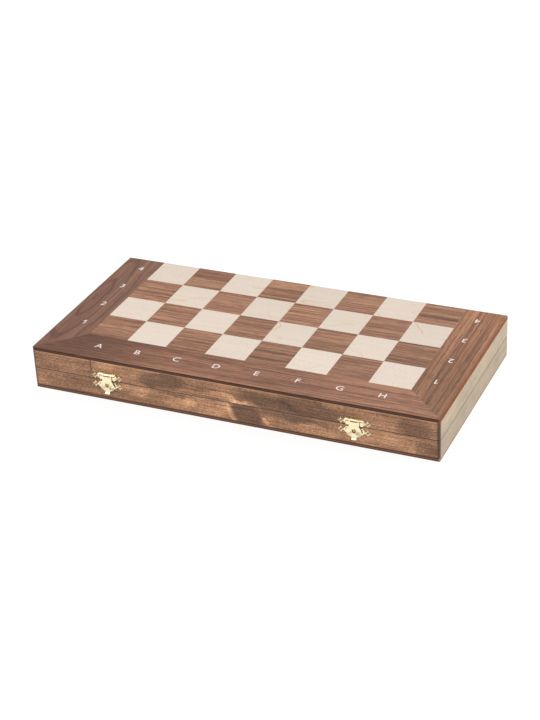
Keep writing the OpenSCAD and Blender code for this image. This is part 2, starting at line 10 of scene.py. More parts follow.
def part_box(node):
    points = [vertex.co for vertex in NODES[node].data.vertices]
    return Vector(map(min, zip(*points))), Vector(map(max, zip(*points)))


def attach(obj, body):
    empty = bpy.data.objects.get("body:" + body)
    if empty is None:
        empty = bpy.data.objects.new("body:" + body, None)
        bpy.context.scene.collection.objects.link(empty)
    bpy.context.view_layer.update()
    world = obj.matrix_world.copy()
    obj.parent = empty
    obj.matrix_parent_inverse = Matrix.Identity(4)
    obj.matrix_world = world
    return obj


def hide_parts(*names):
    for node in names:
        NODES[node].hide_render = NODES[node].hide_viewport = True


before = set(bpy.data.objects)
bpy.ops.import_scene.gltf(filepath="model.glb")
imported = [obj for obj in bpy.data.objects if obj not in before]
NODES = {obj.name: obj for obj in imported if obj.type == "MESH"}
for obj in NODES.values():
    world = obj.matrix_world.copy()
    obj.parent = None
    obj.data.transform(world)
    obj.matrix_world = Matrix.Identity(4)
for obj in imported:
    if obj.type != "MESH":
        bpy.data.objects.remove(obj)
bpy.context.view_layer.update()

MM = 0.001

# ---- Sizes, read from the frame ----

case_low, case_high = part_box("lower_core_panel")[0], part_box("upper_core_panel")[1]
CASE_X = case_high.x
CASE_FRONT = case_low.y
CASE_BACK = case_high.y
TOP_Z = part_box("upper_light_squares")[1].z
SEAM_Z = TOP_Z / 2
grid_low, grid_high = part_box("upper_dark_squares")
FILES, RANKS = 8, 4
SQUARE = (grid_high.x - grid_low.x) / FILES
GRID_X, GRID_Y = grid_low.x, grid_low.y
PANEL_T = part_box("lower_felt_liner")[0].z
hasp_low, hasp_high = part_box("right_hasp")
CLASP_X = (hasp_low.x + hasp_high.x) / 2
HOLE_Y, HOLE_R = -5.7 * MM, 2.4 * MM      # the hasp's hole: its middle from the seam, and its radius


# ---- Short ways to write materials ----

class Shader:
    """A node material. A value given to a method is a number, a colour or another node's output."""

    def __init__(self, name):
        self.material = bpy.data.materials.new(name)
        self.material.use_nodes = True
        self.tree = self.material.node_tree
        self.bsdf = self.tree.nodes["Principled BSDF"]

    def feed(self, socket, value):
        """Links another node's output to a socket, or sets the socket to a number or a colour."""
        if isinstance(value, bpy.types.NodeSocket):
            self.tree.links.new(value, socket)
        elif socket.type == "RGBA":
            socket.default_value = (*value, 1)
        else:
            socket.default_value = value

    def node(self, kind, inputs=(), **settings):
        made = self.tree.nodes.new("ShaderNode" + kind)
        for key, value in settings.items():
            setattr(made, key, value)
        for key, value in dict(inputs).items():
            self.feed(made.inputs[key], value)
        return made

    def place(self):
        return self.node("TexCoord").outputs["Object"]

    def math(self, operation, a, b=0.0):
        return self.node("Math", {0: a, 1: b}, operation=operation).outputs[0]

    def times(self, a, b):
        return self.math("MULTIPLY", a, b)

    def scaled(self, vector, scale, shift=(0, 0, 0)):
        inputs = {"Vector": vector, "Scale": scale, "Location": shift}
        return self.node("Mapping", inputs).outputs[0]

    def noise(self, vector, scale=1.0, detail=3.0, roughness=0.55, distortion=0.0):
        inputs = {"Vector": vector, "Scale": scale, "Detail": detail,
                  "Roughness": roughness, "Distortion": distortion}
        return self.node("TexNoise", inputs).outputs["Fac"]

    def between(self, value, low, high, to_low=0.0, to_high=1.0):
        """A smooth step from to_low, where the value is low, up to to_high, where it is high."""
        inputs = {"Value": value, "From Min": low, "From Max": high, "To Min": to_low, "To Max": to_high}
        return self.node("MapRange", inputs, interpolation_type="SMOOTHSTEP").outputs[0]

    def near(self, value, middle, half):
        """1 at the middle and 0 from half away."""
        return self.between(self.math("ABSOLUTE", self.math("SUBTRACT", value, middle)), half, half * 0.35)

    def ramp(self, value, stops):
        made = self.node("ValToRGB", {"Fac": value})
        elements = made.color_ramp.elements
        while len(elements) < len(stops):
            elements.new(0.5)
        for element, (position, colour) in zip(elements, stops):
            element.position = position
            element.color = (*colour, 1)
        return made.outputs["Color"]

    def mix(self, factor, a, b, blend="MIX"):
        made = self.node("Mix", data_type="RGBA", blend_type=blend)
        for socket, value in zip((made.inputs[0], made.inputs[6], made.inputs[7]), (factor, a, b)):
            self.feed(socket, value)
        return made.outputs[2]

    def lay(self, colour, cover, strength, tone):
        """The colour with a tone laid over it where cover is 1, as strongly as strength says."""
        return self.mix(self.times(cover, strength), colour, tone)

    def dim(self, colour, share):
        """The colour times one number."""
        return self.mix(1.0, colour, self.vector(share, share, share), "MULTIPLY")

    def axis(self, vector, name):
        """A vector's value along x, y or z."""
        return self.node("SeparateXYZ", {0: vector}).outputs["xyz".index(name)]

    def vector(self, x, y, z):
        return self.node("CombineXYZ", {0: x, 1: y, 2: z}).outputs[0]

    def reach(self, x, y):
        """The distance of the point x, y from the origin."""
        point = self.vector(x, y, 0.0)
        return self.node("VectorMath", {0: point}, operation="LENGTH").outputs["Value"]

    def add(self, a, b, scale):
        """Vector a with vector b added to it, scale times over."""
        step = self.node("VectorMath", {0: b, "Scale": scale}, operation="SCALE").outputs[0]
        return self.node("VectorMath", {0: a, 1: step}, operation="ADD").outputs[0]

    def bump(self, height, distance, strength):
        inputs = {"Height": height, "Distance": distance, "Strength": strength}
        return self.node("Bump", inputs).outputs[0]

    def finish(self, **sockets):
        """Feeds the main shader's sockets, named with _ for a space, and gives the material."""
        for name, value in sockets.items():
            self.feed(self.bsdf.inputs[name.replace("_", " ")], value)
        return self.material


def rgb(r, g, b):
    """A colour as a picture shows it, 0 to 255, in the linear values that materials use."""
    return tuple((v / 255 / 12.92) if v <= 10 else ((v / 255 + 0.055) / 1.055) ** 2.4 for v in (r, g, b))


def weigh(s, *pairs):
    """The sum of value times weight."""
    total = None
    for value, weight in pairs:
        term = s.times(value, weight)
        total = term if total is None else s.math("ADD", total, term)
    return total


def run_noise(s, place, along, across, length, **how):
    """Noise drawn out along one axis. across and length are repeats a metre."""
    scale = [across] * 3
    scale["xyz".index(along)] = length
    return s.noise(s.scaled(place, scale), **how)


def wander(s, place, scale, reach, detail=2.0):
    """The place pushed about by a slow noise, so that nothing on it runs straight."""
    drift = s.node("TexNoise", {"Vector": place, "Scale": scale, "Detail": detail}).outputs["Color"]
    centred = s.node("VectorMath", {0: drift, 1: (0.5, 0.5, 0.5)}, operation="SUBTRACT").outputs[0]
    return s.add(place, centred, scale=reach)


# ---- Veneers of the board ----

SATIN = 0.32     # specular level of thin satin lacquer
SQUARE_TONES = [(0.36, rgb(134, 92, 70)), (0.48, rgb(165, 119, 92)), (0.6, rgb(184, 137, 107))]
FRONT_TONES = [(0.36, rgb(130, 86, 66)), (0.48, rgb(162, 113, 88)), (0.6, rgb(181, 129, 99))]
ARCH_TONES = [(0.36, rgb(124, 88, 71)), (0.48, rgb(138, 99, 81)), (0.6, rgb(147, 107, 87))]
RIGHT_TONES = [(0.36, rgb(130, 88, 62)), (0.48, rgb(151, 106, 77)), (0.6, rgb(164, 117, 86))]
MAPLE_TONES = [(0.34, rgb(221, 203, 186)), (0.5, rgb(234, 218, 202)), (0.66, rgb(243, 228, 214))]
STREAK = rgb(84, 55, 42)
ARCH_STREAK = rgb(80, 54, 44)
WARM_WALNUT = rgb(196, 140, 106)
MAPLE_LINE = rgb(222, 180, 130)
MAPLE_HALO = rgb(240, 208, 160)
OVAL_X, OVAL_Y = CASE_X - 12 * MM, 12 * MM     # the middle of a leaf's ovals
OVAL_WIDTH = 0.17                              # their width as a share of their length


def cell_shift(s, place):
    """A different offset for each square of the board, so that no two are cut from the same spot."""
    x, y, z = (s.axis(place, axis) for axis in "xyz")
    column = s.math("FLOOR", s.math("DIVIDE", s.math("SUBTRACT", x, GRID_X), SQUARE))
    row = s.math("FLOOR", s.math("DIVIDE", s.math("SUBTRACT", y, GRID_Y), SQUARE))
    side = s.math("FLOOR", s.math("DIVIDE", z, SEAM_Z))
    cell = s.vector(column, row, side)
    hashed = s.node("TexWhiteNoise", {"Vector": cell}, noise_dimensions="3D")
    return s.add(place, hashed.outputs["Color"], scale=3.0), hashed.outputs["Value"]


def grown_brighter(s, colour, place, amount):
    """The colour raised by a share towards the hinge side."""
    return s.dim(colour, s.between(s.axis(place, "y"), GRID_Y, CASE_BACK, 1.0, 1.0 + amount))


def nested_ovals(s, place):
    """Soft dark lines of a flat-sawn leaf: ovals nested about a middle near the outer edge."""
    bent = wander(s, place, 16.0, 0.011)
    across = s.math("SUBTRACT", s.math("ABSOLUTE", s.axis(bent, "x")), OVAL_X)
    along = s.times(s.math("SUBTRACT", s.axis(bent, "y"), OVAL_Y), OVAL_WIDTH)
    rings = s.math("SINE", s.times(s.math("POWER", s.reach(across, along), 0.75), 300.0))
    return s.between(rings, 0.55, 1.0)


def walnut_figure(s, place, along, ground, streak, ovals=0.0, ruled=0.0, pores=0.5, straight=1.0):
    """Walnut's colour, its dark lines and its open pores: soft bands, lines of growth and short dashes.
    ovals adds the figure of a flat-sawn leaf, ruled the long straight lines of a quarter-sawn one,
    and straight is how many times longer and straighter than usual the bands run."""
    bent = wander(s, place, 9.0, 0.005 / straight)
    bands = run_noise(s, bent, along, 60, 3 / straight, detail=2.0)
    streaks = run_noise(s, bent, along, 280, 5 / straight, detail=2.0)
    lines = run_noise(s, bent, along, 620, 9, detail=2.0, roughness=0.6)
    dashes = run_noise(s, place, along, 1100, 60, detail=2.0, roughness=0.7)
    speck = s.noise(place, 1500.0, detail=1.0)
    colour = s.ramp(weigh(s, (bands, 0.42), (streaks, 0.43), (speck, 0.15)), ground)
    if ovals:
        colour = s.lay(colour, nested_ovals(s, place), ovals, streak)
    if ruled:
        long_lines = run_noise(s, wander(s, place, 6.0, 0.002), along, 430, 0.9, detail=2.0, roughness=0.6)
        colour = s.lay(colour, s.between(long_lines, 0.555, 0.58), ruled, streak)
    colour = s.lay(colour, s.between(lines, 0.54, 0.6), pores, streak)
    colour = s.lay(colour, s.between(dashes, 0.54, 0.6), pores, streak)
    return colour, lines, dashes


def satin_veneer(s, colour, roughness, bump):
    """Veneer under thin satin lacquer."""
    return s.finish(Base_Color=colour, Roughness=roughness, Normal=bump, Coat_Weight=0.05,
                    Coat_Roughness=0.25, Specular_IOR_Level=SATIN)


def satin_walnut(s, colour, lines, dashes):
    height = weigh(s, (lines, -0.4), (dashes, -0.6))
    return satin_veneer(s, colour, s.between(dashes, 0.3, 0.7, 0.42, 0.56), s.bump(height, 0.00012, 0.5))


def walnut_square_wood():
    s = Shader("walnut_squares")
    world = s.place()
    place, shade = cell_shift(s, world)
    colour, lines, dashes = walnut_figure(s, place, "x", SQUARE_TONES, STREAK, ruled=0.5)
    colour = grown_brighter(s, colour, world, 0.15)
    colour = s.dim(colour, s.between(shade, 0.0, 1.0, 0.93, 1.06))
    return satin_walnut(s, colour, lines, dashes)


def front_border_wood():
    """The border before the squares: darker to the left, with a warmer strip beside them to the right."""
    s = Shader("front_border")
    place = s.place()
    colour, lines, dashes = walnut_figure(s, place, "x", FRONT_TONES, STREAK, ruled=0.45, pores=0.55)
    x, y = (s.axis(place, axis) for axis in "xy")
    colour = s.lay(colour, s.between(x, -0.05, -0.2), 0.66, STREAK)
    strip = s.times(s.between(y, GRID_Y - 11 * MM, GRID_Y - 6 * MM), s.between(x, 0.07, 0.15))
    colour = s.lay(colour, strip, 0.5, WARM_WALNUT)
    return satin_walnut(s, colour, lines, dashes)


def side_border_wood(name, ground, streak, lift, **figure):
    """A border beside the squares, raised by a share towards the hinge side."""
    s = Shader(name)
    place = s.place()
    colour, lines, dashes = walnut_figure(s, place, "y", ground, streak, **figure)
    return satin_walnut(s, grown_brighter(s, colour, place, lift), lines, dashes)


def maple_square_wood():
    """Pale close-grained veneer, with thin wandering yellow lines and faint flecks."""
    s = Shader("maple_squares")
    world = s.place()
    place, shade = cell_shift(s, world)
    slow = s.noise(s.scaled(wander(s, place, 20.0, 0.015), (14, 26, 26), (0.6, 0.3, 0.0)), detail=1.0)
    off_line = s.math("ABSOLUTE", s.math("SUBTRACT", slow, 0.52))
    patchy = s.between(s.noise(place, 24.0, detail=1.0), 0.42, 0.62)
    streaks = run_noise(s, place, "x", 180, 12, detail=3.0)
    speck = s.noise(place, 1300.0, detail=2.0)
    colour = s.ramp(weigh(s, (streaks, 0.2), (speck, 0.8)), MAPLE_TONES)
    colour = s.lay(colour, s.times(s.between(off_line, 0.1, 0.0), patchy), 0.12, MAPLE_HALO)
    colour = s.lay(colour, s.times(s.between(off_line, 0.012, 0.0), patchy), 0.65, MAPLE_LINE)
    colour = grown_brighter(s, colour, world, -0.07)
    colour = s.dim(colour, s.between(shade, 0.0, 1.0, 0.96, 1.02))
    return satin_veneer(s, colour, s.between(speck, 0.3, 0.7, 0.42, 0.52), s.bump(streaks, 0.00006, 0.4))


# ---- Stained walls and panel edges ----

WALL_TONES = [(0.36, rgb(100, 69, 49)), (0.46, rgb(142, 101, 73)), (0.56, rgb(178, 130, 95)),
              (0.66, rgb(203, 151, 114))]
# The end walls' pale tones: partly the wood's own colour, partly painted light from the strong light on the
# end.
SIDE_TONES = [(0.36, rgb(160, 145, 116)), (0.46, rgb(184, 163, 134)), (0.56, rgb(198, 176, 146)),
              (0.66, rgb(210, 189, 160))]
DARK_TINT = (0.43, 0.42, 0.43)      # what a patch of stain does to the wood under it
PALE_TINT = (1.62, 1.68, 1.74)
STAIN_PALE = rgb(214, 160, 120)
# Stain on the edges and corners; also painted shade in the seam and along the case's foot.
EDGE_STAIN_AND_SHADE = rgb(66, 44, 34)
# Painted shade in the seam of an end wall.
SIDE_SEAM_SHADE = rgb(118, 98, 76)
SIDE_CLOUD = rgb(150, 142, 112)
PLY = rgb(128, 88, 66)
SCARF_X, SCARF_HALF = -0.166, 1.1 * MM     # a glued joint in the upper front wall

# Patches of stain: middle x, middle z, half width, half height, lean, strength.
UPPER_DARKER = [
    (-0.078, 0.037, 0.028, 0.011, 0.5, 1.0),
    (0.045, 0.036, 0.032, 0.011, -1.6, 0.95),
    (0.098, 0.036, 0.036, 0.013, -1.0, 0.85),
    (0.212, 0.036, 0.02, 0.012, 0.0, 0.7),
]
UPPER_PALER = [
    (-0.15, 0.043, 0.014, 0.007, 0.4, 0.8),
    (-0.006, 0.031, 0.026, 0.005, 0.8, 0.8),
    (0.017, 0.03, 0.012, 0.004, 0.0, 0.8),
    (0.17, 0.031, 0.03, 0.005, 0.0, 0.35),
]
LOWER_DARKER = [
    (0.022, 0.014, 0.015, 0.016, -0.35, 1.0),
    (0.07, 0.0215, 0.034, 0.006, -0.6, 0.85),
    (0.225, 0.014, 0.012, 0.009, 0.0, 0.7),
    (-0.07, 0.022, 0.02, 0.003, 0.0, 0.3),
]
LOWER_PALER = [
    (-0.115, 0.02, 0.02, 0.008, 0.0, 0.8),
    (-0.06, 0.012, 0.018, 0.008, 0.9, 0.7),
    (-0.024, 0.016, 0.026, 0.012, 0.3, 1.0),
    (0.004, 0.016, 0.004, 0.014, -0.35, 0.9),
    (0.046, 0.008, 0.004, 0.007, -0.8, 1.0),
    (0.1, 0.011, 0.03, 0.007, 0.0, 0.6),
    (0.18, 0.015, 0.05, 0.012, 0.0, 0.45),
]
BACK_DARKER = [
    (0.06, 0.041, 0.03, 0.007, 1.2, 0.8),
    (0.13, 0.012, 0.045, 0.008, 0.6, 0.8),
    (-0.19, 0.039, 0.02, 0.008, 0.0, 0.8),
]
BACK_PALER = [
    (-0.1, 0.035, 0.05, 0.007, 0.5, 0.7),
    (0.02, 0.013, 0.05, 0.008, 0.3, 0.7),
]


def blotch(s, x, z, middle_x, middle_z, half_x, half_z, lean, strength):
    """A soft patch of stain, 0 outside it, that leans towards +x by lean for each unit up."""
    rise = s.math("SUBTRACT", z, middle_z)
    run = s.math("SUBTRACT", s.math("SUBTRACT", x, middle_x), s.times(rise, lean))
    squares = [s.math("POWER", s.math("ABSOLUTE", s.math("DIVIDE", offset, half)), 2.0)
               for offset, half in ((run, half_x), (rise, half_z))]
    return s.between(s.math("ADD", *squares), 1.6, 0.5, 0.0, strength)


def stained(s, place, along, tones, darker=(), paler=(), contrast=(0.7, 1.3)):
    """The colour of close-grained wood that took its stain unevenly, and the fibres in it."""
    slow = wander(s, place, 38.0, 0.018, detail=3.0)
    clouds = s.noise(s.scaled(slow, (16, 16, 34)), detail=3.0)
    curl = s.noise(s.scaled(slow, (80, 80, 95)), detail=3.0, roughness=0.65)
    grain = run_noise(s, wander(s, place, 14.0, 0.003), along, 760, 14, detail=3.0, roughness=0.65)
    fibres = run_noise(s, place, along, 700, 300, detail=2.0, roughness=0.7)
    speck = s.noise(place, 800.0, detail=2.0, roughness=0.7)
    value = weigh(s, (clouds, 0.28), (curl, 0.16), (grain, 0.22), (fibres, 0.2), (speck, 0.14))
    colour = s.ramp(value, tones)
    x, z = (s.axis(slow, axis) for axis in "xz")
    rough_edge = s.between(curl, 0.25, 0.6, 0.7, 1.0)
    for patches, tint in ((darker, DARK_TINT), (paler, PALE_TINT)):
        for patch in patches:
            colour = s.mix(s.times(blotch(s, x, z, *patch), rough_edge), colour, tint, "MULTIPLY")
    grainy = weigh(s, (grain, 0.3), (fibres, 0.4), (speck, 0.3))
    return s.dim(colour, s.between(grainy, 0.38, 0.62, *contrast)), fibres


def lacquered_wall(s, colour, fibres):
    return s.finish(Base_Color=colour, Roughness=s.between(fibres, 0.3, 0.7, 0.4, 0.54),
                    Normal=s.bump(fibres, 0.0001, 0.45), Coat_Weight=0.08, Coat_Roughness=0.22,
                    Specular_IOR_Level=SATIN)


def wall_lines(s, z, colour, seam_shade):
    """Painted shade in the seam between the halves, and the paler line where the wall meets the board
    panel.
    """
    # A dark tone laid along the seam: painted shade, where the gap between the halves lies in shadow.
    colour = s.lay(colour, s.near(z, SEAM_Z, 0.75 * MM), 0.75, seam_shade)
    from_seam = s.math("ABSOLUTE", s.math("SUBTRACT", z, SEAM_Z))
    return s.lay(colour, s.near(from_seam, SEAM_Z - PANEL_T - 0.5 * MM, 0.7 * MM), 0.4, STAIN_PALE)


def long_wall_wood(name, darker, paler, scarf=False):
    """A front or back wall: a dark line along the case's foot, partly stain and partly painted contact
    shadow, and stain pooled in the rounded corners. scarf adds the joint where two lengths of wood were
    glued."""
    s = Shader(name)
    place = s.place()
    colour, fibres = stained(s, place, "x", WALL_TONES, darker, paler)
    x, z = (s.axis(place, axis) for axis in "xz")
    colour = wall_lines(s, z, colour, EDGE_STAIN_AND_SHADE)
    # Dark along the foot of the wall: stain by the panel edge, widened with painted contact shadow.
    colour = s.lay(colour, s.between(z, PANEL_T + 1.5 * MM, PANEL_T + 0.6 * MM), 0.9, EDGE_STAIN_AND_SHADE)
    if scarf:
        line = s.times(s.near(x, SCARF_X, SCARF_HALF), s.between(z, 0.031, 0.036))
        colour = s.lay(colour, line, 0.85, EDGE_STAIN_AND_SHADE)
    corner = s.between(s.math("ABSOLUTE", x), CASE_X - 5 * MM, CASE_X - 1.5 * MM)
    return lacquered_wall(s, s.lay(colour, corner, 0.85, EDGE_STAIN_AND_SHADE), fibres)


def side_wall_wood():
    """An end wall: pale, its tones partly the wood's own and partly painted light from the strong light on
    this end, cloudy, a little darker below the seam, and dark at its front corner.
    """
    s = Shader("side_wall")
    place = s.place()
    colour, fibres = stained(s, place, "y", SIDE_TONES, contrast=(0.9, 1.07))
    y, z = (s.axis(place, axis) for axis in "yz")
    colour = wall_lines(s, z, colour, SIDE_SEAM_SHADE)
    clouds = s.between(s.noise(s.scaled(place, (30, 22, 60)), detail=3.0), 0.5, 0.68)
    colour = s.lay(colour, clouds, 0.3, SIDE_CLOUD)
    colour = s.dim(colour, s.between(z, SEAM_Z + MM, SEAM_Z - MM, 1.0, 0.9))
    corner = s.between(y, CASE_FRONT + 4 * MM, CASE_FRONT + 1.2 * MM)
    return lacquered_wall(s, s.lay(colour, corner, 0.85, EDGE_STAIN_AND_SHADE), fibres)


def panel_edge(name, lit_end_tones, ply_share):
    """Stained edge of a board panel with a paler line of ply: near black along the case, and the end tones,
    dark and pale, at the ends, where they are painted highlight from the light that falls on the ends."""
    s = Shader(name)
    place = s.place()
    streaks = s.noise(s.scaled(place, (60, 60, 1500)), detail=3.0)
    colour = s.ramp(streaks, [(0.35, rgb(48, 31, 25)), (0.65, rgb(92, 62, 50))])
    from_seam = s.math("ABSOLUTE", s.math("SUBTRACT", s.axis(place, "z"), SEAM_Z))
    colour = s.lay(colour, s.near(from_seam, SEAM_Z - 2.7 * MM, 1.3 * MM), ply_share, PLY)
    # Faces that point towards the ends take the paler end tones: a painted highlight, picked by the face's
    # direction.
    facing_x = s.math("ABSOLUTE", s.axis(s.node("TexCoord").outputs["Normal"], "x"))
    lit_ends = s.ramp(streaks, list(zip((0.35, 0.65), lit_end_tones)))
    colour = s.mix(s.between(facing_x, 0.3, 0.7), colour, lit_ends)
    return s.finish(Base_Color=colour, Roughness=s.between(streaks, 0.3, 0.7, 0.5, 0.62),
                    Specular_IOR_Level=0.5 * SATIN, Normal=s.bump(streaks, 0.0001, 0.4))


# ---- Chessmen's wood, felt, brass and ink ----

STRIP_TONES = [(0.36, rgb(92, 62, 45)), (0.5, rgb(124, 86, 62)), (0.64, rgb(150, 108, 80))]
LIGHT_TONES = [(0.34, rgb(206, 166, 112)), (0.5, rgb(226, 190, 138)), (0.66, rgb(238, 208, 160))]
DARK_TONES = [(0.34, rgb(48, 26, 17)), (0.5, rgb(74, 42, 27)), (0.66, rgb(98, 60, 40))]
FELT_TONES = [(0.32, rgb(14, 58, 36)), (0.72, rgb(36, 96, 62))]
PALE_BRASS = (rgb(252, 242, 210), rgb(240, 224, 176))      # clean, and hazed by handling
DEEP_BRASS = (rgb(190, 144, 84), rgb(150, 104, 54))
# Painted shade on a hasp's tab, toning down the reflection it catches.
TAB_SHADE_TINT = (0.84, 0.8, 0.7)        # a hasp's tab, below TAB_Z
# Painted shade in the hasp's hole, over the round catch.
HOLE_SHADE_TINT = (0.62, 0.5, 0.3)
TAB_Z = 12.6 * MM


def turned_wood(name, tones):
    """Lacquered boxwood or stained wood of the chessmen, and of the strips between them."""
    s = Shader(name)
    place = s.place()
    bent = wander(s, place, 30.0, 0.006)
    bands = run_noise(s, bent, "y", 90, 7, detail=2.0)
    streaks = run_noise(s, bent, "y", 420, 16, detail=3.0)
    fibres = run_noise(s, place, "y", 1500, 60, detail=2.0)
    colour = s.ramp(weigh(s, (bands, 0.4), (streaks, 0.36), (fibres, 0.24)), tones)
    return s.finish(Base_Color=colour, Roughness=s.between(fibres, 0.3, 0.7, 0.26, 0.36),
                    Normal=s.bump(fibres, 0.00006, 0.35), Coat_Weight=0.4, Coat_Roughness=0.12)


def felt():
    """Pressed wool felt: matted fibres, a soft sheen and small lumps."""
    s = Shader("green_felt")
    place = s.place()
    lumps = s.noise(place, 260.0, detail=4.0, roughness=0.7)
    fuzz = s.noise(place, 2600.0, detail=3.0, roughness=0.8, distortion=1.5)
    cells = s.node("TexVoronoi", {"Vector": place, "Scale": 1500.0}, feature="DISTANCE_TO_EDGE")
    strands = cells.outputs["Distance"]
    colour = s.ramp(weigh(s, (lumps, 0.4), (fuzz, 0.6)), FELT_TONES)
    height = weigh(s, (lumps, 0.5), (fuzz, 0.7), (strands, 0.3))
    return s.finish(Base_Color=colour, Roughness=s.between(fuzz, 0.3, 0.7, 0.86, 1.0),
                    Normal=s.bump(height, 0.0006, 0.8), Sheen_Weight=0.2, Sheen_Roughness=0.6,
                    Specular_IOR_Level=0.08)


def brass(name, tones, tab=False, catch=False):
    """Thin polished brass, with a faint haze of handling marks. tab darkens a hasp's tab with painted
    shade, and catch lays painted shade over the round catch that stands in the hasp's hole."""
    s = Shader(name)
    place = s.place()
    haze = s.noise(place, 420.0, detail=4.0, roughness=0.65)
    scratches = s.noise(s.scaled(place, (900, 5200, 2600)), detail=2.0)
    colour = s.mix(s.between(haze, 0.35, 0.72), *tones)
    if tab:
        # Painted shade on the tab, below TAB_Z, so that it doesn't shine as brightly as the rest.
        on_tab = s.between(s.axis(place, "z"), TAB_Z + 0.5 * MM, TAB_Z)
        colour = s.mix(on_tab, colour, TAB_SHADE_TINT, "MULTIPLY")
    if catch:
        x, z = (s.axis(place, axis) for axis in "xz")
        from_hole = s.reach(s.math("SUBTRACT", s.math("ABSOLUTE", x), CLASP_X),
                            s.math("SUBTRACT", z, SEAM_Z + HOLE_Y))
        # Painted shade: the catch darkened as though in the shadow of the hole round it.
        colour = s.mix(s.between(from_hole, HOLE_R, 0.75 * HOLE_R), colour, HOLE_SHADE_TINT, "MULTIPLY")
    rough = s.math("ADD", s.between(haze, 0.3, 0.7, 0.24, 0.38), s.between(scratches, 0.6, 0.8, 0.0, 0.08))
    return s.finish(Base_Color=colour, Metallic=1.0, Roughness=rough,
                    Normal=s.bump(weigh(s, (haze, 0.6), (scratches, 0.2)), 0.00005, 0.4))


def ink():
    """White screen-printed ink, a little worn into the grain."""
    s = Shader("white_ink")
    worn = s.noise(s.scaled(s.place(), (900, 3000, 900)), detail=2.0)
    colour = s.mix(s.between(worn, 0.62, 0.74), rgb(240, 232, 228), rgb(206, 188, 178))
    return s.finish(Base_Color=colour, Roughness=s.between(worn, 0.3, 0.7, 0.45, 0.6))


# ---- Each node's material ----

side_wood = side_wall_wood()
back_wood = long_wall_wood("back_wall", BACK_DARKER, BACK_PALER)
strip_wood = turned_wood("strip_wood", STRIP_TONES)
light_wood = turned_wood("light_wood", LIGHT_TONES)
dark_wood = turned_wood("dark_wood", DARK_TONES)
green_felt = felt()
pale_brass = brass("pale_brass", PALE_BRASS)
plate_brass = brass("plate_brass", PALE_BRASS, catch=True)
hasp_brass = brass("hasp_brass", PALE_BRASS, tab=True)
deep_brass = brass("deep_brass", DEEP_BRASS)

IN_BOTH_HALVES = {
    "light_squares": maple_square_wood(),
    "dark_squares": walnut_square_wood(),
    "front_border": front_border_wood(),
    "left_border": side_border_wood("arched_border", ARCH_TONES, ARCH_STREAK, 0.06,
                                    ovals=0.45, ruled=0.2, pores=0.25),
    "right_border": side_border_wood("straight_border", RIGHT_TONES, STREAK, 0.48,
                                     ruled=0.5, pores=0.45, straight=4.0),
    "back_wall": back_wood, "left_wall": side_wood, "right_wall": side_wood,
    "felt_liner": green_felt, "pads": green_felt,
    "long_rails": strip_wood, "cross_dividers": strip_wood,
}
IN_ONE_HALF = {
    # The second pair of tones in each call is the painted highlight on the panel's ends.
    "upper_core_panel": panel_edge("upper_panel_edge", (rgb(118, 60, 24), rgb(166, 90, 42)), 0.2),
    "lower_core_panel": panel_edge("lower_panel_edge", (rgb(158, 128, 98), rgb(184, 156, 126)), 0.85),
    "upper_front_wall": long_wall_wood("upper_front_wall", UPPER_DARKER, UPPER_PALER, scarf=True),
    "lower_front_wall": long_wall_wood("lower_front_wall", LOWER_DARKER, LOWER_PALER),
}
# The first of these words in a node's name settles its material.
BY_WORD = {
    "pins": deep_brass, "screws": deep_brass, "nails": deep_brass, "base_felts": green_felt,
    "clasp": plate_brass, "hinge": pale_brass, "hasp": hasp_brass, "white": light_wood, "black": dark_wood,
}


def dress(mesh, material):
    mesh.materials.clear()
    mesh.materials.append(material)


for name, node in NODES.items():
    half, part = name.split("_", 1)
    if name in IN_ONE_HALF:
        dress(node.data, IN_ONE_HALF[name])
    elif half in ("lower", "upper") and part in IN_BOTH_HALVES:
        dress(node.data, IN_BOTH_HALVES[part])
    else:
        dress(node.data, next(material for word, material in BY_WORD.items() if word in name))


# ---- Ways to build and place pieces ----

def link(name, mesh, material, body):
    """Puts a mesh in the scene as a piece that rides on a body."""
    dress(mesh, material)
    piece = bpy.data.objects.new(name, mesh)
    bpy.context.collection.objects.link(piece)
    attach(piece, body)
    return piece


def merged(node):
    """A CAD node's mesh as a bmesh, with the vertices that share a place made one."""
    made = bmesh.new()
    made.from_mesh(NODES[node].data)
    bmesh.ops.remove_doubles(made, verts=made.verts, dist=0.001 * MM)
    return made


def as_mesh(made, name):
    """A mesh from a bmesh that isn't needed any more."""
    mesh = bpy.data.meshes.new(name)
    made.to_mesh(mesh)
    made.free()
    return mesh


def islands(made):
    """The separate solids of a bmesh, each as a list of its vertices."""
    seen, found = set(), []
    for start in made.verts:
        if start in seen:
            continue
        seen.add(start)
        solid, queue = [], [start]
        while queue:
            vertex = queue.pop()
            solid.append(vertex)
            for edge in vertex.link_edges:
                other = edge.other_vert(vertex)
                if other not in seen:
                    seen.add(other)
                    queue.append(other)
        found.append(solid)
    return found


def span(vertices):
    points = np.array([v.co for v in vertices])
    return points.min(0), points.max(0)


def smooth(mesh, angle=35):
    mesh.shade_smooth()
    mesh.set_sharp_from_angle(angle=math.radians(angle))


def settle(piece):
    """The piece's mesh with its modifiers worked in."""
    bpy.context.view_layer.update()
    seen = piece.evaluated_get(bpy.context.evaluated_depsgraph_get())
    mesh = bpy.data.meshes.new_from_object(seen)
    piece.modifiers.clear()
    piece.data = mesh
    return mesh


def round_edges(piece, width, segments=2, angle=35):
    bevel = piece.modifiers.new("rounded", "BEVEL")
    bevel.width = width
    bevel.segments = segments
    bevel.limit_method = "ANGLE"
    bevel.angle_limit = math.radians(angle)


# ---- Felt and pads ----

FELT_CUTS = ((0, 150), (1, 72))             # an axis of the sheet, and the cuts across it
WIDE_DIP, FINE_DIP = 0.09 * MM, 0.03 * MM


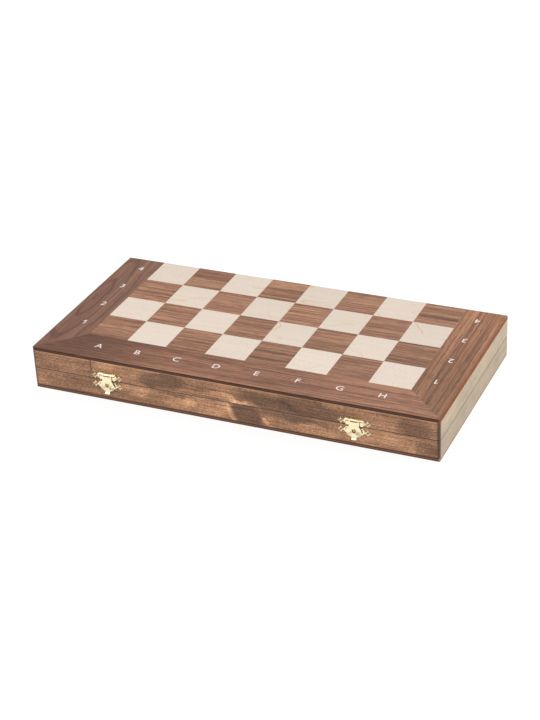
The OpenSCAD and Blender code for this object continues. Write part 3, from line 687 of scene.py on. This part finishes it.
def felt_liner(half, body):
    """Felt sheet on the floor of a half, a little uneven where the glue pulls it."""
    low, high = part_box(f"{half}_felt_liner")
    size, middle = high - low, (high + low) / 2
    up = -1 if half == "upper" else 1
    made = bmesh.new()
    bmesh.ops.create_cube(made, size=1.0)
    for axis, cuts in FELT_CUTS:
        edges = [e for e in made.edges if abs((e.verts[0].co - e.verts[1].co)[axis]) > 0.5]
        bmesh.ops.subdivide_edges(made, edges=edges, cuts=cuts, use_grid_fill=True)
    for vertex in made.verts:
        on_face = vertex.co.z * up > 0
        vertex.co = Vector(a * b for a, b in zip(vertex.co, size)) + middle
        if on_face:
            wide = WIDE_DIP * (1 + noise.noise(vertex.co * 70))
            fine = FINE_DIP * (1 + noise.noise(vertex.co * 400))
            vertex.co.z -= up * (wide + fine)
    mesh = as_mesh(made, "felt")
    smooth(mesh, 40)
    piece = link(f"{half}_felt_sheet", mesh, green_felt, body)
    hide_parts(f"{half}_felt_liner")


PAD_SCALE = 20                         # the cloth is simulated this many times its size
PAD_START = (0.95, 0.95, 0.72)         # the cover's size before it is blown up, as shares of the pad's
PAD_CUTS = 11
PAD_FRAMES = 14


def puffed(size):
    """A felt cover blown up by the foam in it, with its foot held down and at z = 0."""
    made = bmesh.new()
    bmesh.ops.create_cube(made, size=1.0)
    bmesh.ops.subdivide_edges(made, edges=made.edges, cuts=PAD_CUTS, use_grid_fill=True)
    start = Vector(a * b for a, b in zip(size, PAD_START)) * PAD_SCALE
    for vertex in made.verts:
        vertex.co = Vector(a * b for a, b in zip(vertex.co, start))
    cover = bpy.data.objects.new("cover", as_mesh(made, "cover"))
    bpy.context.collection.objects.link(cover)
    foot = cover.vertex_groups.new(name="foot")
    foot.add([v.index for v in cover.data.vertices if v.co.z < -0.49 * start.z], 1.0, "REPLACE")
    cloth = cover.modifiers.new("cloth", "CLOTH")
    feel = cloth.settings
    feel.quality = 5
    feel.mass = 0.3
    feel.tension_stiffness = feel.compression_stiffness = 12
    feel.bending_stiffness = 0.8
    feel.use_pressure = True
    feel.uniform_pressure_force = 5
    feel.vertex_group_mass = "foot"
    feel.effector_weights.gravity = 0
    cloth.point_cache.frame_start, cloth.point_cache.frame_end = 1, PAD_FRAMES
    for frame_number in range(1, PAD_FRAMES + 1):
        bpy.context.scene.frame_set(frame_number)
    settle(cover)
    rounding = cover.modifiers.new("rounding", "SUBSURF")
    rounding.levels = rounding.render_levels = 1
    mesh = settle(cover)
    bpy.data.objects.remove(cover)
    bpy.context.scene.frame_set(1)
    points = np.array([v.co for v in mesh.vertices])
    low, high = points.min(0), points.max(0)
    fit = np.array(size) / (high - low)
    points = (points - (low + high) / 2) * fit
    points[:, 2] += size[2] / 2
    mesh.vertices.foreach_set("co", points.astype(np.float32).ravel())
    mesh.shade_smooth()
    return mesh


def pads(half, body, covers):
    """A padded block for each CAD pad of a half. covers keeps one mesh for each size."""
    made = merged(f"{half}_pads")
    for number, solid in enumerate(islands(made), 1):
        low, high = span(solid)
        size = tuple(round(float(v), 5) for v in high - low)
        if size not in covers:
            covers[size] = puffed(size)
        piece = bpy.data.objects.new(f"{half}_pad_{number:02d}", covers[size])
        foot_z = low[2] if half == "lower" else high[2]
        piece.location = ((low[0] + high[0]) / 2, (low[1] + high[1]) / 2, foot_z)
        if half == "upper":
            piece.rotation_euler = (0, math.pi, 0)
        dress(piece.data, green_felt)
        bpy.context.collection.objects.link(piece)
        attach(piece, body)
        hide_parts(f"{half}_pads")
    made.free()


covers = {}
for half in ("lower", "upper"):
    felt_liner(half, f"{half}_half")
    pads(half, f"{half}_half", covers)


# ---- Chessmen ----

EYE = (3.2 * MM, 0.83, 1.3 * MM, 0.8 * MM)       # out towards the nose, share up, radius and depth
NOSTRIL = (10.6 * MM, 0.685, 0.8 * MM, 0.6 * MM)
MOUTH_OUT, MOUTH_UP, MOUTH_SLOPE = 8 * MM, 0.625, 0.25     # a point on the mouth's line, and its slope
MOUTH_BACK, MOUTH_HALF, MOUTH_DEPTH = 6 * MM, 0.7 * MM, 0.45 * MM
CARVING_STEP = 0.45 * MM                         # between the vertices of a carved knight
LOCK_DEPTH, LOCK_PITCH, LOCK_SLOPE = 0.5 * MM, 2.6 * MM, 0.35      # locks of the mane


def refined(node, name, material, body, edge=None):
    """A smooth-shaded copy of a CAD node that stands for it."""
    mesh = as_mesh(merged(node), name)
    smooth(mesh)
    piece = link(name, mesh, material, body)
    if edge:
        round_edges(piece, edge)
    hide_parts(node)


def grown(value, start, length):
    """0 up to start, then growing evenly to 1 over the length."""
    return max(0.0, min(1.0, (value - start) / length))


def span_at(spans, y):
    """The lowest and highest corners of the chessman that lies at y."""
    return next(s for s in spans if s[0][1] - MM < y < s[1][1] + MM)


def thin_out(carve, spans, facing):
    """Narrows the knights' heads towards the muzzle and towards the crest of the mane."""
    slices = {}
    for vertex in carve.verts:
        slices.setdefault(round(vertex.co.y / MM), []).append(vertex)
    for vertices in slices.values():
        low, high = span_at(spans, vertices[0].co.y)
        up = (high[1] - vertices[0].co.y) / (high[1] - low[1])
        heights = [v.co.z for v in vertices]
        middle_z = (min(heights) + max(heights)) / 2
        for vertex in vertices:
            out = (vertex.co.x - (low[0] + high[0]) / 2) * facing
            thinner = 0.42 * grown(out, 2 * MM, 9 * MM) + 0.5 * grown(-out, MM, 8 * MM)
            vertex.co.z = middle_z + (vertex.co.z - middle_z) * (1 - grown(up, 0.34, 0.14) * thinner)


def cut_depth(out, up, long, y):
    """How deep a knight's block is cut at a point out towards its nose and a share up its height."""
    mane = grown(-out, MM, 2 * MM) * grown(up, 0.36, 0.05) * grown(0.97 - up, 0.0, 0.04)
    depth = LOCK_DEPTH * mane * (0.5 + 0.5 * math.sin(2 * math.pi * (y + LOCK_SLOPE * out) / LOCK_PITCH))
    for hole_out, hole_up, radius, hole_depth in (EYE, NOSTRIL):
        gap = math.hypot(out - hole_out, (up - hole_up) * long)
        depth += hole_depth * max(0.0, 1 - (gap / radius) ** 2)
    if out > MOUTH_BACK:
        gap = abs((up - MOUTH_UP) * long - MOUTH_SLOPE * (out - MOUTH_OUT))
        depth += MOUTH_DEPTH * max(0.0, 1 - (gap / MOUTH_HALF) ** 2)
    return depth


def carved_knights(colour, material, body, facing):
    """Knights rounded off from their block, with mane, eyes, nostrils and mouth cut in."""
    node = f"{colour}_knights"
    made = merged(node)
    spans = [span(solid) for solid in islands(made)]
    piece = bpy.data.objects.new(f"{colour}_carved_knights", as_mesh(made, node))
    bpy.context.collection.objects.link(piece)
    blocks = piece.modifiers.new("blocks", "REMESH")
    blocks.mode = "VOXEL"
    blocks.voxel_size = CARVING_STEP
    settle(piece)
    soften = piece.modifiers.new("soften", "SMOOTH")
    soften.factor = 0.5
    soften.iterations = 9
    mesh = settle(piece)
    carve = bmesh.new()
    carve.from_mesh(mesh)
    thin_out(carve, spans, facing)
    for vertex in carve.verts:
        low, high = span_at(spans, vertex.co.y)
        long = high[1] - low[1]
        up = (high[1] - vertex.co.y) / long                         # 0 at the base, 1 at the ears
        out = (vertex.co.x - (low[0] + high[0]) / 2) * facing       # towards the nose
        vertex.co -= vertex.normal * cut_depth(out, up, long, vertex.co.y)
    carve.to_mesh(mesh)
    carve.free()
    mesh.shade_smooth()
    dress(mesh, material)
    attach(piece, body)
    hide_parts(node)


SETS = (("white", light_wood, "lower_half", 1), ("black", dark_wood, "upper_half", -1))
for colour, material, body, facing in SETS:
    for kind in ("king", "queen", "bishops", "rooks", "pawns"):
        refined(f"{colour}_{kind}", f"{colour}_turned_{kind}", material, body)
    carved_knights(colour, material, body, facing)
    refined(f"{colour}_base_felts", f"{colour}_felt_discs", green_felt, body, edge=0.3 * MM)


# ---- Clasps: relief on the stamped plates, and rounded edges on all the brass ----

PLATE_T = 0.6 * MM
NAIL_X, UPPER_NAIL, LOWER_NAIL = 15 * MM, 4.5 * MM, -6.1 * MM
STAR_TIP, STAR_WAIST, NAIL_HOLE = 3.55 * MM, 1.75 * MM, 1.25 * MM
STAR_RIDGE, TIP_RISE, WAIST_RISE = 1.5 * MM, 0.42 * MM, 0.3 * MM
NUB_X, NUB_R = 10.6 * MM, 1.25 * MM
RIBS, FIRST_RIB, RIB_STEP = 5, 32.5, 11      # ribs on each side; their angles from straight down
RIB_W, RIB_H, RIB_GAP = 0.95 * MM, 0.32 * MM, 0.9 * MM      # the gap is from the hasp's hole
HASP_FACE = 2.15 * MM                        # how far the hasp's face stands out of the wall


def on_wall(side):
    """Turns x across, y up from the seam and z out of the front wall into places on one clasp."""
    return Matrix.Translation((side * CLASP_X, CASE_FRONT, SEAM_Z)) @ Matrix.Rotation(math.pi / 2, 4, "X")


def lathe(profile, turns=24):
    """A mesh turned about z from (radius, height) points, closed at radius 0."""
    made = bmesh.new()
    angles = [2 * math.pi * i / turns for i in range(turns)]
    rings = []
    for radius, height in profile:
        if radius == 0:
            rings.append([made.verts.new((0, 0, height))] * turns)
        else:
            points = [(radius * math.cos(a), radius * math.sin(a), height) for a in angles]
            rings.append([made.verts.new(point) for point in points])
    for one, two in zip(rings, rings[1:]):
        for i in range(turns):
            following = (i + 1) % turns
            corners = dict.fromkeys([one[i], one[following], two[following], two[i]])
            made.faces.new(list(corners))
    return made


def shifted(made, x, y):
    bmesh.ops.transform(made, matrix=Matrix.Translation((x, y, 0)), verts=made.verts)
    return as_mesh(made, "part")


def star_relief():
    """A four-pointed star with a ridge to each tip, and a sunk hole for the nail in its middle."""
    made = bmesh.new()
    outer, inner, hole = [], [], []
    for i in range(8):
        reach, up = ((STAR_TIP, TIP_RISE), (STAR_WAIST, WAIST_RISE))[i % 2]
        across, along = math.cos(math.pi / 4 * i), math.sin(math.pi / 4 * i)
        for ring, radius, height in ((outer, reach, 0.0), (inner, STAR_RIDGE, up), (hole, NAIL_HOLE, 0.0)):
            ring.append(made.verts.new((radius * across, radius * along, PLATE_T + height)))
    for one, two in ((outer, inner), (inner, hole)):
        for i in range(8):
            j = (i + 1) % 8
            made.faces.new([one[i], one[j], two[j], two[i]])
    return made


def nub():
    """A low round knob on a plate."""
    profile = ((1, 0), (0.95, 0.35 * MM), (0.7, 0.65 * MM), (0.35, 0.8 * MM), (0, 0.84 * MM))
    return lathe([(share * NUB_R, PLATE_T + height) for share, height in profile])


def rib(length, width, height):
    """A tapering half-round ridge that starts at the origin and runs along y."""
    made = bmesh.new()
    rows = []
    for i in range(9):
        t = i / 8
        half = width / 2 * (0.35 + 0.65 * t) * (1 - max(0.0, (t - 0.85) / 0.15) ** 2 * 0.7)
        crown = height * math.sin(math.pi * min(1.0, 0.12 + t)) ** 0.5
        rows.append([made.verts.new((half * math.cos(a), t * length, crown * math.sin(a)))
                     for a in (math.pi * k / 6 for k in range(7))])
    for one, two in zip(rows, rows[1:]):
        for i in range(6):
            made.faces.new([one[i], two[i], two[i + 1], one[i + 1]])
    return made


def rolled_rim():
    """The raised edge round the hasp's hole."""
    profile = ((0.05 * MM, 0), (0.15 * MM, 0.3 * MM), (0.45 * MM, 0.36 * MM), (0.75 * MM, 0))
    return lathe([(HOLE_R + out, HASP_FACE + up) for out, up in profile], 32)


def clasp_relief(side, hand):
    """The raised work on one clasp: stars and nubs on both plates, ribs and a rolled rim on the hasp."""
    place = on_wall(side)
    for half, nail_y, nub_drop in (("upper", UPPER_NAIL, 0.4 * MM), ("lower", LOWER_NAIL, -0.2 * MM)):
        parts = []
        for way in (-1, 1):
            parts.append(shifted(star_relief(), way * NAIL_X, nail_y))
            parts.append(shifted(nub(), way * NUB_X, nail_y - nub_drop))
        for mesh in parts:
            mesh.transform(place)
        join_meshes(f"{hand}_{half}_plate_relief", parts, pale_brass, f"{half}_half")
    ribs = []
    for way in (-1, 1):
        for k in range(RIBS):
            angle = math.pi + way * math.radians(FIRST_RIB + RIB_STEP * k)
            mesh = as_mesh(rib((6.2 - 0.5 * abs(k - 2.6)) * MM, RIB_W, RIB_H), "rib")
            mesh.transform(Matrix.Translation((0, HOLE_Y, HASP_FACE)) @ Matrix.Rotation(angle, 4, "Z")
                           @ Matrix.Translation((0, HOLE_R + RIB_GAP, 0)))
            ribs.append(mesh)
    ribs.append(shifted(rolled_rim(), 0, HOLE_Y))
    for mesh in ribs:
        mesh.transform(place)
    join_meshes(f"{hand}_hasp_ribs", ribs, pale_brass, f"{hand}_hasp")


def join_meshes(name, meshes, material, body):
    """Several meshes as one smooth-shaded piece."""
    made = bmesh.new()
    for mesh in meshes:
        made.from_mesh(mesh)
        bpy.data.meshes.remove(mesh)
    bmesh.ops.recalc_face_normals(made, faces=made.faces)
    joined = as_mesh(made, name)
    smooth(joined, 30)
    link(name, joined, material, body)


clasp_relief(-1, "left")
clasp_relief(1, "right")
for name in NODES:
    if "leaf" in name or "hasp" in name or ("clasp" in name and "plate" in name):
        round_edges(NODES[name], 0.12 * MM, 2, 40)
    if "rails" in name or "dividers" in name:
        round_edges(NODES[name], 0.45 * MM, 3, 60)


# ---- Coordinates printed on the borders ----

CAP_HEIGHT = 8.8 * MM
INK_THICKNESS = 0.04 * MM
LETTER_GAP = 21.7 * MM      # from the squares to the middle of a letter
NUMBER_GAP = 20 * MM        # from the squares to the middle of a number
CAP_SHARE = 0.72            # a capital's height as a share of the font's size
STROKE_SWELL = 0.1 * MM     # added to each side of a stroke
STRETCH = 1.06              # across each letter
printed = ink()


def figure_one():
    """The number 1 with a slanting flag, drawn as a stem and a flag."""
    half_stem, flag_out, flag_drop, flag_t = 0.62 * MM, 2.3 * MM, 1.8 * MM, 1.5 * MM
    top = CAP_HEIGHT / 2
    mesh = bpy.data.meshes.new("one")
    mesh.from_pydata([
        (-half_stem, -top, 0), (half_stem, -top, 0), (half_stem, top, 0), (-half_stem, top, 0),
        (-half_stem, top - flag_t, 0), (-half_stem - flag_out, top - flag_drop - flag_t, 0),
        (-half_stem - flag_out, top - flag_drop, 0),
    ], [], [(0, 1, 2, 3, 4), (3, 6, 5, 4)])
    return mesh


def letter(text):
    """A letter or number in Blender's own plain font."""
    curve = bpy.data.curves.new("sign", "FONT")
    curve.body = text
    curve.size = CAP_HEIGHT / CAP_SHARE
    curve.offset = STROKE_SWELL
    curve.align_x = "CENTER"
    sign = bpy.data.objects.new("sign", curve)
    bpy.context.collection.objects.link(sign)
    bpy.context.view_layer.update()
    mesh = bpy.data.meshes.new_from_object(sign)
    bpy.data.objects.remove(sign)
    return mesh


def print_sign(text, x, y, z, turn, down):
    """One letter or number as a mesh, its middle at x, y. down prints it on the underside."""
    mesh = figure_one() if text == "1" else letter(text)
    points = np.array([v.co for v in mesh.vertices])
    middle = (points.min(0) + points.max(0)) / 2
    mesh.transform(Matrix.Translation((-middle[0], -middle[1], 0)))
    mesh.transform(Matrix.Diagonal((STRETCH, 1, 1, 1)))
    mesh.transform(Matrix.Rotation(turn, 4, "Z"))
    if down:
        mesh.transform(Matrix.Rotation(math.pi, 4, "X"))
    mesh.transform(Matrix.Translation((x, y, z)))
    return mesh


def print_half(name, first_rank, z, down, body):
    """Letters A to H in front of the squares, and this half's row numbers on both sides."""
    side_x = GRID_X - NUMBER_GAP
    flip = math.pi if down else 0.0
    signs = []
    for file in range(FILES):
        x = GRID_X + (file + 0.5) * SQUARE
        signs.append(print_sign("ABCDEFGH"[file], x, GRID_Y - LETTER_GAP, z, flip, down))
    for row in range(RANKS):
        rank = first_rank - row if down else first_rank + row
        y = GRID_Y + (row + 0.5) * SQUARE
        signs.append(print_sign(str(rank), side_x, y, z, 0.0, down))
        signs.append(print_sign(str(rank), -side_x, y, z, math.pi, down))
    join_meshes(name, signs, printed, body)


print_half("upper_coordinates", 1, TOP_Z + INK_THICKNESS, False, "upper_half")
print_half("lower_coordinates", 8, -INK_THICKNESS, True, "lower_half")


# ---- Studio: pale floor, soft lights, and the camera ----

FLOOR_HALF = 60.0
FLOOR_GLOW = 0.88


def stage_floor():
    """A wide pale floor that can't be seen from below."""
    mesh = bpy.data.meshes.new("floor")
    corners = [(x * FLOOR_HALF, y * FLOOR_HALF, 0) for x, y in ((-1, -1), (1, -1), (1, 1), (-1, 1))]
    mesh.from_pydata(corners, [], [(0, 1, 2, 3)])
    floor = bpy.data.objects.new("floor", mesh)
    floor.location.z = -0.5 * MM
    bpy.context.collection.objects.link(floor)
    s = Shader("floor")
    s.finish(Base_Color=(0.18, 0.18, 0.18), Roughness=0.9,
             Emission_Color=(1.0, 1.0, 1.0), Emission_Strength=FLOOR_GLOW)
    clear = s.node("BsdfTransparent")
    below = s.node("NewGeometry").outputs["Backfacing"]
    both = s.node("MixShader", {0: below, 1: s.bsdf.outputs[0], 2: clear.outputs[0]})
    s.feed(s.tree.nodes["Material Output"].inputs["Surface"], both.outputs[0])
    mesh.materials.append(s.material)


def softbox(name, place, size, power):
    """A rectangular light that faces the case."""
    light = bpy.data.lights.new(name, "AREA")
    light.shape = "RECTANGLE"
    light.size, light.size_y = size
    light.energy = power
    holder = bpy.data.objects.new(name, light)
    holder.location = place
    holder.rotation_euler = (Vector((0, 0, SEAM_Z)) - Vector(place)).to_track_quat("-Z", "Y").to_euler()
    bpy.context.collection.objects.link(holder)


def studio():
    stage_floor()
    world = bpy.data.worlds.new("studio")
    world.use_nodes = True
    background = world.node_tree.nodes["Background"]
    background.inputs["Color"].default_value = (1, 1, 1, 1)
    background.inputs["Strength"].default_value = 0.3
    bpy.context.scene.world = world
    softbox("key", (-1.6, -2.0, 2.4), (1.6, 1.6), 53)
    softbox("right", (2.6, 0.9, 1.2), (1.6, 1.2), 30)
    softbox("top", (0.1, 1.3, 2.2), (2.2, 1.6), 28)
    bpy.context.scene.view_settings.view_transform = "Standard"


def camera():
    """The viewpoint: its direction and distance from a point near the middle of the case."""
    azimuth, elevation, roll = (math.radians(a) for a in (24.618, 29.156, -2.792))
    distance = 1.9734
    aim = Vector((0, -5.3 * MM, 17.4 * MM))
    level = math.cos(elevation)
    away = Vector((math.sin(azimuth) * level, -math.cos(azimuth) * level, math.sin(elevation)))
    made = bpy.data.cameras.new("camera")
    made.sensor_width, made.lens = 36, 87.24
    holder = bpy.data.objects.new("camera", made)
    holder.location = aim + away * distance
    look = (-away).to_track_quat("-Z", "Y").to_matrix()
    holder.rotation_euler = (look @ Matrix.Rotation(roll, 3, "Z")).to_euler()
    bpy.context.collection.objects.link(holder)
    bpy.context.scene.camera = holder


studio()
camera()
